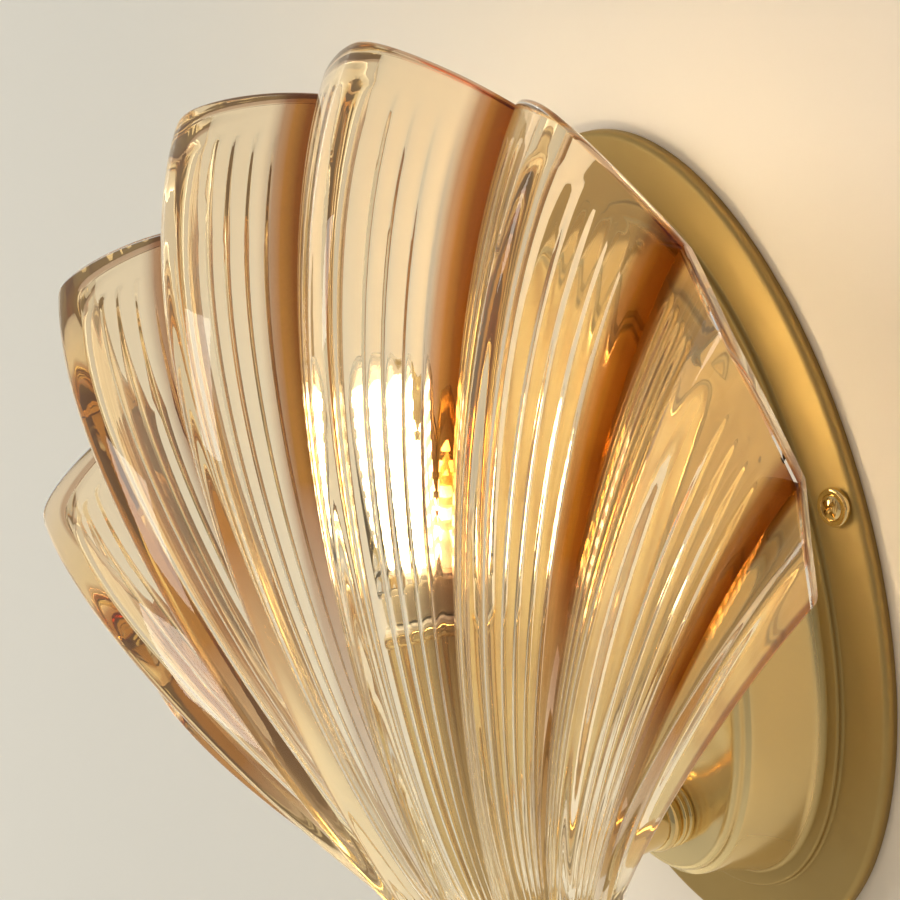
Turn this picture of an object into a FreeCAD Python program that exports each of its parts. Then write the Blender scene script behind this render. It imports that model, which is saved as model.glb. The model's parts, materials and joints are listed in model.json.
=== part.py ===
"""Wall sconce: a pressed brass back plate, a short brass arm with an upright lamp
holder, and a ribbed pressed-glass shell that stands on a post under the holder.

Millimetres.  X is to the right, Z is up, and the wall is the plane Y = 0.
Every depth is measured "out" of the wall, which is the -Y direction.
"""
import FreeCAD, Part
import math
import os

# ---------------------------------------------------------------- driving sizes

# back plate, an oval pressing
plate_half_width = 50.5
plate_half_height = 84.0
plate_sheet = 1.2
ring_out = 3.0            # front of the flat outer ring
ring_width = 11.5
ring_edge_radius = 1.4
ledge_step = 1.6          # small step inside the ring
ledge_width = 3.0
cove_width = 4.6          # how far the steep cove leans inwards
shoulder_width = 1.2
platform_out = 24.0       # front of the central platform
platform_edge_radius = 1.6

# wall bracket behind the plate
bracket_thick = 1.5
bracket_bar = 16.0
bracket_half_height = 40.0
bracket_end_margin = 1.5  # short of the plate's outline
wall_slot_spacing = 60.0
wall_slot_width = 5.0
wall_slot_length = 12.0

# cover screws, at three and nine o'clock on the ring
cover_screw_edge = 5.0    # centre of the screw to the plate's outline
screw_thread = 4.0
screw_head = 7.8
screw_head_height = 2.5
screw_lip = 0.7
cross_width = 0.9
cross_depth = 1.1
running_gap = 0.06        # radial clearance of a shaft that turns in its hole
seat_gap = 0.03           # clearance between pieces that seat on one another

# supply cable, terminal block and earth screw
grommet_bore = 8.0
grommet_wall = 2.0
grommet_lip = 1.4
cable_entry_height = 14.0
earth_screw_height = 30.0
earth_tag_thick = 0.8
earth_tag_width = 9.0
block_width = 16.0
block_length = 22.0
block_depth = 10.0
block_top = -12.0
block_bore = 3.2
block_poles = 3

# arm
arm_height = -51.0
arm_diameter = 12.2
arm_bore = 10.1
collar_rise = 0.9         # what the collar stands out of the arm
collar_bead = 1.6
collar_cushion = 3.4      # the broad rounded ring of the collar
thread_diameter = 10.0
thread_bore = 6.6
nut_flats = 14.0
nut_thick = 4.0
lock_washer_thick = 1.0
lock_washer_diameter = 18.0
arm_thread_inside = 14.0  # length of the threaded tube inside the arm
arm_thread_tail = 0.9     # what stands behind the nut

# lamp holder
lamp_out = 65.0           # the lamp's upright axis, out of the wall
cup_diameter = 23.0
cup_wall = 1.5
cup_height = 59.0
cup_below_arm = 9.0       # from the arm's axis down to the cup's underside
cup_floor = 3.0
cup_lip = 0.8
ledge_depth = 23.0        # from the cup's top down to the inside ledge
ledge_ring = 1.0
bridge_thick = 1.2
ceramic_gap = 0.2
ceramic_rise = 1.2        # what stands above the cup
ceramic_flange = 2.4
holder_screw_spacing = 11.0
holder_screw_thread = 3.0
lead_diameter = 4.0
lead_bend = 10.0
lead_bend_in_cup = 6.0

# lamp (two-pin capsule with rows of light-emitting chips)
pin_spacing = 9.0
pin_diameter = 1.2
pin_length = 11.0
pin_slot_gap = 0.35
lamp_lift = 0.3           # lamp's base above the ceramic
lamp_base_diameter = 16.0
lamp_base_height = 7.0
lamp_core_diameter = 12.0
lamp_core_height = 38.0
lamp_cover_diameter = 20.0
lamp_cover_height = 45.0
lamp_cover_wall = 1.0
chip_rows = 9
chip_columns = 8
chip_width = 2.6
chip_height = 2.0
chip_thick = 0.7

# post, gaskets and finial under the glass
gasket_thick = 2.0
gasket_diameter = 19.0
post_tail = 8.5           # what stands below the washer, inside the finial
washer_thick = 1.5
washer_diameter = 23.0
finial_diameter = 16.0
finial_height = 12.0
finial_floor = 2.5
knurls = 24
knurl_depth = 0.5

# ribbed glass shell
rim_out = 62.3            # the grooves' ends at the rim, out of the wall
rim_radius = 102.0        # grooves' ends lie on this circle round the plate's centre
rim_draw_in = 7.5         # how far the lowest corners are drawn in from the circle
rim_end_angle = 96.5      # from straight up to the shell's lower corner
groove_angles = (0.0, 31.5, 57.5, 84.0, rim_end_angle)
lobe_at_rim = (13.5, 20.0, 21.0, 7.0)     # height of each lobe at the rim
lobe_at_middle = (20.0, 20.0, 17.0, 8.0)  # pull on each lobe half-way down
lobe_at_foot = (8.0, 8.0, 6.0, 2.0)       # pull on each lobe near the post
lobe_lean = 52.0          # lobes at the rim lean this far out from the wall
toe_share = 0.08          # shares of a lobe's width, from its groove: where its side starts,
side_share = 0.22         # is half-way up
shoulder_share = 0.40     # and turns over into the crest
toe_rise_share = 0.27     # shares of a lobe's height at these places
side_rise_share = 0.64
shoulder_rise_share = 0.97
crest_rise_share = 1.06
hollow_share = 0.9        # height of the inner lobes against the outer
glass_wall = 5.5
umbo_drop = 4.0           # below the glass foot: where the ribs would meet, seen from the front
crown_depth = 33.0        # how far the middle rib's controls stand out of the rim
edge_depth = 8.0          # the same for the lower edges
crown_fall = 1.25
rib_low_reach = 38.0
rib_high_share_middle = 0.74
rib_high_share_edge = 0.82
base_radius = 16.0        # ribs start on this circle round the lamp's axis
base_spread = 110.0       # from straight out to the lower edge's start
base_rise = 4.0           # ribs start this far up the glass foot
boss_radius = 17.5
boss_floor = 10.0
boss_edge = 3.0
post_hole = 11.0

# ---------------------------------------------------------------- derived places

screw_x = plate_half_width - cover_screw_edge
ring_back = ring_out - plate_sheet
platform_back = platform_out - plate_sheet
cup_bottom = arm_height - cup_below_arm
cup_top = cup_bottom + cup_height
floor_top = cup_bottom + cup_floor
glass_floor_top = cup_bottom - gasket_thick
glass_floor_bottom = glass_floor_top - boss_floor
washer_top = glass_floor_bottom - gasket_thick
umbo_height = glass_floor_bottom - umbo_drop
base_height = glass_floor_bottom + base_rise
finial_top = washer_top - washer_thick
ceramic_top = cup_top + ceramic_rise
ledge_height = cup_top - ledge_depth
ceramic_bottom = ledge_height + bridge_thick
lamp_bottom = ceramic_top + lamp_lift
cup_radius = cup_diameter / 2
cup_bore = cup_radius - cup_wall

OUT = FreeCAD.Vector(0, -1, 0)
INTO_WALL = FreeCAD.Vector(0, 1, 0)
UP = FreeCAD.Vector(0, 0, 1)
DOWN = FreeCAD.Vector(0, 0, -1)


def at(x, out, z):
    """A point from its place across, out of the wall, and up."""
    return FreeCAD.Vector(x, -out, z)


def rod(diameter, start, direction, length):
    return Part.makeCylinder(diameter / 2, length, start, direction)


def tube(outer, inner, start, direction, length):
    solid = rod(outer, start, direction, length)
    return solid.cut(rod(inner, start, direction, length))


def block(x0, x1, out0, out1, z0, z1):
    return Part.makeBox(x1 - x0, out1 - out0, z1 - z0, at(x0, out1, z0))


def turned(profile, start, direction):
    """A solid turned about a line, from a closed list of (radius, distance along it)."""
    points = [FreeCAD.Vector(r, 0, s) for r, s in profile]
    wire = Part.makePolygon(points + points[:1])
    solid = Part.Face(wire).revolve(FreeCAD.Vector(), UP, 360)
    solid = Part.makeSolid(solid) if solid.ShapeType == "Shell" else solid
    turn = FreeCAD.Rotation(UP, direction)
    solid.Placement = FreeCAD.Placement(start, turn)
    return solid


def quarter(radius_centre, along_centre, radius, start_deg, end_deg, steps=6):
    """Points on an arc of a turned profile."""
    spots = []
    for k in range(steps + 1):
        a = math.radians(start_deg + (end_deg - start_deg) * k / steps)
        spots.append((radius_centre + radius * math.cos(a), along_centre + radius * math.sin(a)))
    return spots


def joined(solids):
    return Part.makeCompound(solids)


def hexagon_nut(flats, bore, thick, start, direction):
    corner = flats / math.sqrt(3)
    points = []
    for k in range(7):
        a = math.radians(60 * k)
        points.append(FreeCAD.Vector(corner * math.cos(a), corner * math.sin(a), 0))
    body = Part.Face(Part.makePolygon(points)).extrude(FreeCAD.Vector(0, 0, thick))
    dome = Part.makeCone(corner * 1.02 + thick, corner * 0.92, thick)
    body = body.common(dome)
    body = body.cut(Part.makeCylinder(bore / 2, thick))
    body.Placement = FreeCAD.Placement(start, FreeCAD.Rotation(UP, direction))
    return body


# ---------------------------------------------------------------- back plate

def oval(inset, out):
    """The plate's outline drawn in by an inset, at one depth."""
    tall = plate_half_height - inset
    wide = plate_half_width - inset
    curve = Part.Ellipse(at(0, out, tall), at(wide, out, 0), at(0, out, 0))
    return Part.Wire(curve.toShape())


def plate_profile():
    """The plate's front, from the wall in to the platform, as (inset, out) corners."""
    edge, corner, lip = ring_edge_radius, platform_edge_radius, ledge_step * 0.4
    ledge_out = ring_out + ledge_step
    cove_start = ring_width + ledge_width
    shoulder = cove_start + cove_width + shoulder_width
    rise = platform_out - ledge_out
    corners = [(0.0, 0.0)]
    corners += [(edge - i, ring_out - edge + o) for i, o in quarter(0, 0, edge, 0, 90, 3)]
    corners += [(ring_width, ring_out)]
    corners += [(ring_width + lip - i, ledge_out - lip + o) for i, o in quarter(0, 0, lip, 0, 90, 2)]
    for lean, height in ((0, 0), (0.28, 0.14), (0.55, 0.36), (0.78, 0.60), (0.93, 0.80), (1, 0.86)):
        corners.append((cove_start + cove_width * lean, ledge_out + rise * height))
    corners.append((shoulder, platform_out - corner * 1.4))
    corners += [(shoulder + corner - i, platform_out - corner + o) for i, o in quarter(0, 0, corner, 0, 90, 3)]
    return corners


def strip(first, second):
    """The face between two ovals, each an (inset, out) corner of the profile."""
    outer, inner = oval(*first), oval(*second)
    if abs(first[1] - second[1]) < 1e-6:
        return Part.Face(outer).cut(Part.Face(inner)).Faces[0]
    return Part.makeRuledSurface(outer.Edges[0], inner.Edges[0])


def plate_sheet_body():
    front = plate_profile()
    back = [(inset + plate_sheet, max(0.0, out - plate_sheet)) for inset, out in front]
    faces = [strip(front[0], back[0])]
    for line in (front, back):
        for first, second in zip(line, line[1:]):
            faces.append(strip(first, second))
        faces.append(Part.Face(oval(*line[-1])))
    skin = Part.makeShell(faces)
    skin.sewShape()
    body = Part.makeSolid(skin)
    if body.Volume < 0:
        body.reverse()
    return body


def back_plate():
    plate = plate_sheet_body()
    for side in (-1, 1):
        hole = rod(screw_thread + 2 * running_gap, at(side * screw_x, 0, 0), OUT, ring_out + 1)
        plate = plate.cut(hole)
    thread = rod(thread_diameter + 2 * seat_gap, at(0, ring_out, arm_height), OUT, platform_out)
    return plate.cut(thread)


# ---------------------------------------------------------------- bracket and wiring

def wall_bracket():
    half = plate_half_width - bracket_end_margin
    across = block(-half, half, 0, bracket_thick, -bracket_bar / 2, bracket_bar / 2)
    outline = Part.Face(oval(bracket_end_margin, 0)).extrude(OUT * bracket_thick)
    across = across.common(outline)
    upright = block(-bracket_bar / 2, bracket_bar / 2, 0, bracket_thick,
                    -bracket_half_height, bracket_half_height)
    corners = [e for e in upright.Edges if abs(e.Length - bracket_thick) < 0.01]
    upright = upright.makeFillet(bracket_bar * 0.25, corners)
    bracket = across.fuse(upright)
    for side in (-1, 1):
        reach = (wall_slot_length - wall_slot_width) / 2
        middle = side * wall_slot_spacing / 2
        slot = block(middle - reach, middle + reach, -1, bracket_thick + 1,
                     -wall_slot_width / 2, wall_slot_width / 2)
        ends = [rod(wall_slot_width, at(middle + s * reach, -1, 0), OUT, bracket_thick + 2) for s in (-1, 1)]
        bracket = bracket.cut(slot.fuse(ends))
        bracket = bracket.cut(rod(screw_thread + 2 * running_gap, at(side * screw_x, -1, 0), OUT, bracket_thick + 2))
    entry = rod(grommet_bore + 2 * grommet_wall, at(0, -1, cable_entry_height), OUT, bracket_thick + 2)
    earth = rod(screw_thread + 2 * seat_gap, at(0, -1, earth_screw_height), OUT, bracket_thick + 2)
    return bracket.cut(entry).cut(earth).removeSplitter()


def pan_screw(start, length):
    """A pan-head screw: its seat is at the start and its head stands out of the wall."""
    radius = screw_head / 2
    lip_height = screw_head_height * 0.62
    profile = [(0, 0), (radius - 0.3, 0)]
    profile += quarter(radius - 0.5, 0.5, 0.5, -45, 0, 2)
    profile += quarter(radius - 0.5, lip_height - 0.5, 0.5, 0, 90, 4)
    profile += [(radius - screw_lip - 0.5, lip_height), (radius - screw_lip - 0.6, lip_height - 0.25)]
    dome = radius - screw_lip - 0.7
    for k in range(6):
        share = k / 5
        profile.append((dome * (1 - share), lip_height - 0.25 + (screw_head_height - lip_height + 0.25)
                        * math.sin(share * math.pi / 2)))
    head = turned(profile, start, OUT)
    arm = dome * 0.72
    x, out, z = start.x, -start.y + screw_head_height - cross_depth, start.z
    for half_x, half_z in ((arm, cross_width / 2), (cross_width / 2, arm)):
        slot = block(x - half_x, x + half_x, out, out + cross_depth + 1, z - half_z, z + half_z)
        head = head.cut(slot)
    shank = rod(screw_thread, start, INTO_WALL, length)
    return head.fuse(shank).removeSplitter()


def cover_screw(side):
    return pan_screw(at(side * screw_x, ring_out + seat_gap, 0), ring_out - 0.2)


def cable_grommet():
    lip = grommet_bore / 2 + grommet_wall + grommet_lip
    body = rod(2 * lip, at(0, bracket_thick + seat_gap, cable_entry_height), OUT, grommet_lip)
    neck = rod(grommet_bore + 2 * grommet_wall - 2 * seat_gap, at(0, 0, cable_entry_height), OUT,
               bracket_thick + grommet_lip)
    bore = rod(grommet_bore, at(0, -grommet_lip, cable_entry_height), OUT, bracket_thick + 4 * grommet_lip)
    return body.fuse(neck).cut(bore).removeSplitter()


def earth_tag():
    face = bracket_thick + seat_gap
    eye = rod(earth_tag_width, at(0, face, earth_screw_height), OUT, earth_tag_thick)
    blade = block(-earth_tag_width * 0.27, earth_tag_width * 0.27, face, face + earth_tag_thick,
                  earth_screw_height, earth_screw_height + earth_tag_width)
    hole = rod(screw_thread + 2 * seat_gap, at(0, 0, earth_screw_height), OUT, face + 2 * earth_tag_thick)
    return eye.fuse(blade).cut(hole).removeSplitter()


def earth_screw():
    seat = bracket_thick + earth_tag_thick + 2 * seat_gap
    return pan_screw(at(0, seat, earth_screw_height), seat - 0.1)


def terminal_block():
    pitch = block_length / block_poles
    back = bracket_thick + seat_gap
    body = block(-block_width / 2, block_width / 2, back, back + block_depth * 0.55,
                 block_top - block_length, block_top)
    for k in range(block_poles):
        z = block_top - pitch * (k + 0.5)
        tower = block(-block_width * 0.42, block_width * 0.42, back, back + block_depth,
                      z - pitch * 0.38, z + pitch * 0.38)
        body = body.fuse(tower)
    body = body.removeSplitter()
    for k in range(block_poles):
        z = block_top - pitch * (k + 0.5)
        body = body.cut(rod(block_bore, at(-block_width, back + block_depth * 0.34, z),
                            FreeCAD.Vector(1, 0, 0), 2 * block_width))
        for side in (-1, 1):
            body = body.cut(rod(block_bore + 2 * seat_gap, at(side * block_width * 0.24,
                            back + block_depth * 0.62, z), OUT, block_depth))
    return body


def terminal_screws():
    pitch = block_length / block_poles
    back = bracket_thick + seat_gap
    screws = []
    for k in range(block_poles):
        z = block_top - pitch * (k + 0.5)
        for side in (-1, 1):
            seat = back + block_depth * 0.62 + seat_gap
            screw = rod(block_bore, at(side * block_width * 0.24, seat, z), OUT, block_depth * 0.24)
            groove = block(side * block_width * 0.24 - block_bore, side * block_width * 0.24 + block_bore,
                           seat + block_depth * 0.14, seat + block_depth, z - 0.3, z + 0.3)
            screws.append(screw.cut(groove))
    return joined(screws)


# ---------------------------------------------------------------- arm

def arm_tube():
    start = platform_out + seat_gap
    length = lamp_out - start
    body = tube(arm_diameter, arm_bore, at(0, start, arm_height), OUT, length)
    inside = rod(2 * cup_bore, at(0, lamp_out, arm_height - arm_diameter), UP, 2 * arm_diameter)
    return body.cut(inside)


def arm_collar():
    """Two narrow beads and one broad cushion, turned in one ring round the arm's foot."""
    inner = arm_diameter / 2 + seat_gap
    outer = arm_diameter / 2 + collar_rise
    start = 0.0
    profile = [(inner, 0)]
    for width in (collar_bead, collar_bead, collar_cushion):
        half = width / 2
        for k in range(9):
            a = math.radians(-80 + 20 * k)
            profile.append((outer - half * 0.7 * (1 - math.cos(a)), start + half + half * math.sin(a) * 0.98))
        start += width
    profile.append((inner, start))
    return turned(profile, at(0, platform_out + seat_gap, arm_height), OUT)


def arm_thread():
    tail = platform_back - lock_washer_thick - nut_thick - arm_thread_tail
    length = platform_out + arm_thread_inside - tail
    return tube(thread_diameter, thread_bore, at(0, tail, arm_height), OUT, length)


def arm_lock_washer():
    start = at(0, platform_back - seat_gap, arm_height)
    washer = tube(lock_washer_diameter, thread_diameter + 2 * seat_gap, start, INTO_WALL, lock_washer_thick)
    teeth = 12
    for k in range(teeth):
        a = 2 * math.pi * k / teeth
        reach = lock_washer_diameter / 2
        notch = rod(2.0, at(reach * math.cos(a), platform_back + 1, arm_height + reach * math.sin(a)),
                    INTO_WALL, lock_washer_thick + 2)
        washer = washer.cut(notch)
    return washer


def arm_lock_nut():
    start = at(0, platform_back - lock_washer_thick - 2 * seat_gap, arm_height)
    return hexagon_nut(nut_flats, thread_diameter + 2 * seat_gap, nut_thick, start, INTO_WALL)


# ---------------------------------------------------------------- lamp holder

def holder_cup():
    r, b = cup_radius, cup_bore
    low = b - ledge_ring
    height = cup_height
    ledge = ledge_height - cup_bottom
    profile = [(thread_diameter / 2 + seat_gap, 0), (r - 2, 0)]
    profile += quarter(r - 2, 2, 2, -90, 0, 5)
    profile += [(r, height - 2.4)]
    profile += quarter(r, height - 1.2, 1.2, -90, 90, 8)
    profile += [(b, height), (b, ledge), (low, ledge), (low, cup_floor),
                (thread_diameter / 2 + seat_gap, cup_floor)]
    cup = turned(profile, at(0, lamp_out, cup_bottom), UP)
    side_hole = rod(arm_diameter + 2 * seat_gap, at(0, lamp_out - 2 * r, arm_height), OUT, 2 * r)
    return cup.cut(side_hole)


def holder_bridge():
    diameter = 2 * (cup_bore - ceramic_gap)
    start = at(0, lamp_out, ledge_height + seat_gap)
    bridge = tube(diameter, lead_diameter + 1.0, start, UP, bridge_thick - 2 * seat_gap)
    for side in (-1, 1):
        hole = rod(holder_screw_thread + 2 * seat_gap, at(side * holder_screw_spacing / 2, lamp_out,
                   ledge_height - 1), UP, bridge_thick + 2)
        bridge = bridge.cut(hole)
    return bridge


def lamp_socket():
    """The ceramic two-pin socket: a round body with a wider flange on the cup's lip."""
    diameter = 2 * (cup_bore - ceramic_gap)
    height = ceramic_top - ceramic_bottom
    body = rod(diameter, at(0, lamp_out, ceramic_bottom), UP, height)
    top_edge = [e for e in body.Edges if abs(e.BoundBox.ZMin - ceramic_top) < 0.01
                and abs(e.BoundBox.ZMax - ceramic_top) < 0.01]
    body = body.makeChamfer(ceramic_rise * 0.5, top_edge)
    for side in (-1, 1):
        x = side * pin_spacing / 2
        half = pin_diameter / 2 + pin_slot_gap
        slot = block(x - half, x + half, lamp_out - 1.6, lamp_out + 1.6,
                     ceramic_top - pin_length - 2, ceramic_top + 1)
        body = body.cut(slot)
        hole = rod(holder_screw_thread + 2 * seat_gap, at(side * holder_screw_spacing / 2, lamp_out,
                   ceramic_bottom - 1), UP, 7)
        body = body.cut(hole)
    lead = rod(lead_diameter + 1.0, at(0, lamp_out, ceramic_bottom - 1), UP, 6)
    return body.cut(lead)


def holder_contacts():
    """Spring leaves beside the pins, one pair in each slot of the socket."""
    leaves = []
    for side in (-1, 1):
        for face in (-1, 1):
            out = lamp_out + face * (pin_diameter / 2 + 0.55)
            x = side * pin_spacing / 2
            half = pin_diameter / 2 + pin_slot_gap - seat_gap
            leaves.append(block(x - half, x + half, out - 0.2, out + 0.2,
                                ceramic_top - pin_length - 2 + seat_gap, ceramic_top - 3))
    return joined(leaves)


def holder_screws():
    screws = []
    for side in (-1, 1):
        x = side * holder_screw_spacing / 2
        head = rod(holder_screw_thread * 1.7, at(x, lamp_out, ledge_height), DOWN, holder_screw_thread * 0.6)
        shank = rod(holder_screw_thread, at(x, lamp_out, ledge_height), UP, bridge_thick + 5)
        groove = block(x - holder_screw_thread, x + holder_screw_thread, lamp_out - 0.35, lamp_out + 0.35,
                       ledge_height - holder_screw_thread * 0.6 - 1, ledge_height - holder_screw_thread * 0.3)
        screws.append(head.fuse(shank).cut(groove).removeSplitter())
    return joined(screws)


def swept_lead(points, radii):
    """A round lead along straight runs joined by tangent arcs."""
    edges = []
    here = points[0]
    for k in range(1, len(points) - 1):
        corner = points[k]
        back = (points[k - 1] - corner).normalize()
        ahead = (points[k + 1] - corner).normalize()
        half = back.getAngle(ahead) / 2
        trim = radii[k - 1] / math.tan(half)
        start = corner + back * trim
        end = corner + ahead * trim
        middle = corner + (back + ahead).normalize() * (radii[k - 1] / math.sin(half) - radii[k - 1])
        edges.append(Part.LineSegment(here, start).toShape())
        edges.append(Part.Arc(start, middle, end).toShape())
        here = end
    edges.append(Part.LineSegment(here, points[-1]).toShape())
    path = Part.Wire(edges)
    direction = points[1] - points[0]
    ring = Part.Wire(Part.Circle(points[0], direction, lead_diameter / 2).toShape())
    return path.makePipeShell([ring], True, False)


def supply_lead():
    """The sleeved pair from the terminal block through the arm to the socket."""
    back = bracket_thick + seat_gap
    lead_out = platform_back - lock_washer_thick - nut_thick - arm_thread_tail - lead_bend
    lead_out = max(lead_out, back + lead_diameter / 2 + seat_gap)
    points = [at(0, lead_out, block_top - block_length - seat_gap),
              at(0, lead_out, arm_height),
              at(0, lamp_out, arm_height),
              at(0, lamp_out, ceramic_bottom + 4)]
    return swept_lead(points, (lead_bend, lead_bend_in_cup))


# ---------------------------------------------------------------- lamp

def lamp_base():
    base = rod(lamp_base_diameter, at(0, lamp_out, lamp_bottom), UP, lamp_base_height)
    edges = [e for e in base.Edges if e.Closed]
    return base.makeChamfer(0.8, edges)


def lamp_pins():
    pins = []
    for side in (-1, 1):
        start = at(side * pin_spacing / 2, lamp_out, lamp_bottom - seat_gap)
        pins.append(rod(pin_diameter, start, DOWN, pin_length))
    return joined(pins)


def lamp_core():
    bottom = lamp_bottom + lamp_base_height + seat_gap
    corner = lamp_core_diameter / 2 / math.cos(math.pi / chip_columns)
    points = []
    for k in range(chip_columns + 1):
        a = 2 * math.pi * (k + 0.5) / chip_columns
        points.append(at(corner * math.cos(a), lamp_out + corner * math.sin(a), bottom))
    return Part.Face(Part.makePolygon(points)).extrude(UP * lamp_core_height)


def lamp_chips():
    bottom = lamp_bottom + lamp_base_height + seat_gap
    pitch = lamp_core_height / chip_rows
    chips = []
    for column in range(chip_columns):
        a = 360.0 * column / chip_columns
        for row in range(chip_rows):
            chip = Part.makeBox(chip_thick, chip_width, chip_height,
                                FreeCAD.Vector(lamp_core_diameter / 2 + seat_gap, -chip_width / 2,
                                               bottom + pitch * (row + 0.5) - chip_height / 2))
            chip.rotate(FreeCAD.Vector(), UP, a)
            chip.translate(at(0, lamp_out, 0))
            chips.append(chip)
    return joined(chips)


def lamp_cover():
    """A clear cap: a straight tube with a domed end, open below."""
    r = lamp_cover_diameter / 2
    t = lamp_cover_wall
    dome = lamp_cover_height - r
    bottom = lamp_base_height - 1.5
    profile = [(lamp_base_diameter / 2 + seat_gap, 0), (r - 1, 0)]
    profile += quarter(r - 1, 1, 1, -90, 0, 3)
    profile += quarter(0, dome, r, 0, 90, 8)
    profile += quarter(0, dome, r - t, 90, 0, 8)
    profile += [(r - t, 1.5), (lamp_base_diameter / 2 + seat_gap, 1.5)]
    return turned(profile, at(0, lamp_out, lamp_bottom + bottom), UP)


# ---------------------------------------------------------------- post and finial

def shade_post():
    bottom = finial_top - post_tail
    top = floor_top + nut_thick * 0.5 + 1.0
    return tube(thread_diameter, thread_bore, at(0, lamp_out, bottom), UP, top - bottom)


def post_lock_nut():
    start = at(0, lamp_out, floor_top + seat_gap)
    return hexagon_nut(nut_flats, thread_diameter + 2 * seat_gap, nut_thick * 0.5, start, UP)


def gasket(top):
    start = at(0, lamp_out, top - seat_gap)
    ring = tube(gasket_diameter, thread_diameter + 2 * seat_gap, start, DOWN, gasket_thick - 2 * seat_gap)
    return ring


def post_washer():
    r = washer_diameter / 2
    profile = [(thread_diameter / 2 + seat_gap, 0), (r, 0), (r, -washer_thick * 0.5)]
    profile += quarter(r - washer_thick * 0.5, -washer_thick * 0.5, washer_thick * 0.5 - seat_gap, 0, -90, 4)
    profile += [(thread_diameter / 2 + seat_gap, -washer_thick + seat_gap)]
    return turned(profile, at(0, lamp_out, washer_top), UP)


def finial_nut():
    r = finial_diameter / 2
    bore = thread_diameter / 2 + running_gap
    deep = finial_height - finial_floor
    profile = [(bore, 0), (r - 1, 0)]
    profile += quarter(r - 1, -1, 1, 90, 0, 4)
    profile += [(r, -finial_height * 0.55)]
    for k in range(1, 9):
        share = k / 8
        profile.append((r * math.cos(share * math.pi / 2) if k < 8 else 0,
                        -finial_height * 0.55 - finial_height * 0.45 * math.sin(share * math.pi / 2)))
    profile += [(0, -deep), (bore, -deep)]
    nut = turned(profile, at(0, lamp_out, finial_top - running_gap), UP)
    grooves = []
    for k in range(knurls):
        a = 2 * math.pi * k / knurls
        reach = r + 0.7 - knurl_depth
        grooves.append(rod(1.4, at(reach * math.cos(a), lamp_out + reach * math.sin(a),
                                   finial_top - finial_height * 0.5), UP, finial_height * 0.4))
    return nut.cut(grooves)


# ---------------------------------------------------------------- ribbed glass

def rib_controls(share):
    """Four control points of one rib; share runs from -1 to 1 across the shell."""
    side = abs(share)
    turn = math.radians(base_spread * share)
    foot = at(base_radius * math.sin(turn), lamp_out + base_radius * math.cos(turn), base_height)
    angle = math.radians(rim_end_angle * share)
    radius = rim_radius - rim_draw_in * side ** 6
    end_x = radius * math.sin(angle)
    end_z = radius * math.cos(angle)
    rise = end_z - umbo_height
    reach = math.hypot(end_x, rise)
    depth = edge_depth + (crown_depth - edge_depth) * (1 - side ** crown_fall)
    near = rib_low_reach / reach
    far = rib_high_share_middle + (rib_high_share_edge - rib_high_share_middle) * side
    low = at(end_x * near, rim_out + depth, umbo_height + rise * near)
    high = at(end_x * far, rim_out + depth, umbo_height + rise * far)
    return foot, low, high, at(end_x, rim_out, end_z)


def on_rib(share, t):
    """A point on a rib, t from the base to the rim."""
    foot, low, high, end = rib_controls(share)
    return foot * (1 - t) ** 3 + low * (3 * t * (1 - t) ** 2) + high * (3 * t * t * (1 - t)) + end * t ** 3


def out_of_glass(share, t):
    """The direction square to the ribs' surface, away from the lamp."""
    step = 0.004
    across = on_rib(share + step, t) - on_rib(share - step, t)
    along = on_rib(share, min(1.0, t + step)) - on_rib(share, max(0.0, t - step))
    square = across.cross(along).normalize()
    away = on_rib(share, t) - at(0, rim_out - crown_depth, 0)
    return square if square.dot(away) > 0 else square * -1


def out_of_rim(share):
    """The direction a lobe stands out at the rim."""
    angle = math.radians(rim_end_angle * share)
    lean = math.radians(lobe_lean)
    across = math.cos(lean)
    return at(math.sin(angle) * across, math.sin(lean), math.cos(angle) * across)


def lobe_patch(side, k, inner):
    """One lobe of the outer or inner glass surface, from groove to groove."""
    start = side * groove_angles[k] / rim_end_angle
    stop = side * groove_angles[k + 1] / rim_end_angle
    half = (0.0, toe_share, side_share, shoulder_share)
    places = half + (0.5,) + tuple(1 - place for place in reversed(half))
    risen = (0.0, toe_rise_share, side_rise_share, shoulder_rise_share)
    raised = risen + (crest_rise_share,) + tuple(reversed(risen))
    heights = (0.0, lobe_at_foot[k], lobe_at_middle[k], lobe_at_rim[k])
    middle = (start + stop) / 2
    rises = [out_of_glass(middle, j / 3) * heights[j] for j in range(3)]
    rises.append(out_of_rim(middle) * heights[3])
    poles = []
    for place, share_up in zip(places, raised):
        share = start + (stop - start) * place
        row = []
        for j, control in enumerate(rib_controls(share)):
            pole = control + rises[j] * (share_up * (hollow_share if inner else 1.0))
            if inner:
                pole = pole - out_of_glass(share, j / 3) * glass_wall
            row.append(pole)
        poles.append(row)
    turns = (0.0, toe_share * 1.5, shoulder_share * 0.8, 0.5)
    knots = turns + tuple(1 - turn for turn in reversed(turns[:-1]))
    patch = Part.BSplineSurface()
    patch.buildFromPolesMultsKnots(poles, [4] + [1] * (len(knots) - 2) + [4], [4, 4], list(knots), [0.0, 1.0],
                                   False, False, 3, 3)
    return patch


def glass_skin():
    """Outer and inner lobes, with the rim, base and lower edges closed between them."""
    faces = []
    for side in (1, -1):
        for k in range(len(groove_angles) - 1):
            outer = lobe_patch(side, k, False)
            inner = lobe_patch(side, k, True)
            faces += [outer.toShape(), inner.toShape()]
            for t in (0, 1):
                faces.append(Part.makeRuledSurface(outer.vIso(t).toShape(), inner.vIso(t).toShape()))
        faces.append(Part.makeRuledSurface(outer.uIso(1).toShape(), inner.uIso(1).toShape()))
    return faces


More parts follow.
